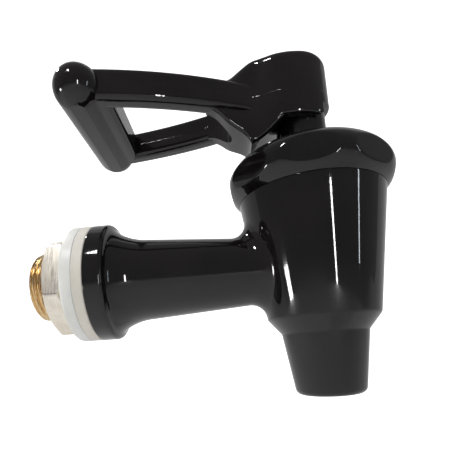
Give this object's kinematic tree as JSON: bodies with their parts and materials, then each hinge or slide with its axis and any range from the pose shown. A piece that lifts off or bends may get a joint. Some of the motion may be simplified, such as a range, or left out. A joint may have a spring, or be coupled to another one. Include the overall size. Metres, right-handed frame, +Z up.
{
  "type": "self-closing dispensing tap",
  "caption": "Black moulded drinks dispenser tap with a loop lever handle, tapered barrel and nozzle, and a flanged shank with a threaded brass end, washers and back nut.",
  "frame": {"origin": "middle of the flange face that seals on the vessel wall, on the shank's axis", "axes": "+X along the shank from the wall to the barrel, +Z up, so the outlet points along -Z"},
  "size_m": [0.1048, 0.048, 0.0992],
  "materials": {
    "black_plastic": "polished black moulding, light scuffs",
    "handle_plastic": "polished black moulding with a parting line",
    "brass": "turned thread",
    "plated_brass": "nickel plated, fine turning lines",
    "washer_plastic": "translucent, satin",
    "washer_silicone": "translucent, satin",
    "stem_plastic": "natural white moulding",
    "seat_silicone": "soft, translucent",
    "steel": "stainless, bright"
  },
  "bodies": {
    "body": {"tap_body": "black_plastic", "threaded_shank": "brass", "back_nut": "plated_brass", "backing_washer": "washer_plastic", "sealing_washer": "washer_silicone", "bonnet": "black_plastic", "seat_cup": "seat_silicone", "closing_spring": "steel"},
    "valve": {"spring_washer": "steel"},
    "stem": {"stem": "stem_plastic"},
    "handle": {"handle": "handle_plastic", "handle_pin": "steel"}
  },
  "joints": [
    {"name": "stem_lift", "type": "slide", "parent": "body", "child": "valve", "axis": [0, 0, 1], "range_m": [0, 0.00195], "deforming": ["closing_spring", "seat_cup"]},
    {"name": "handle_swivel", "type": "hinge", "parent": "valve", "child": "stem", "pos_m": [0.0635, 0, 0.054], "axis": [0, 0, 1], "continuous": true},
    {"name": "handle_tilt", "type": "hinge", "parent": "stem", "child": "handle", "pos_m": [0.0635, 0, 0.054], "axis": [0, 1, 0], "range_deg": [0, 25], "stiffness_Nm_per_rad": 0.0194, "springref_deg": -103.13}
  ],
  "couplings": [
    {"joint": "stem_lift", "follows": "handle_tilt", "m_per_rad": 0.0044}
  ]
}
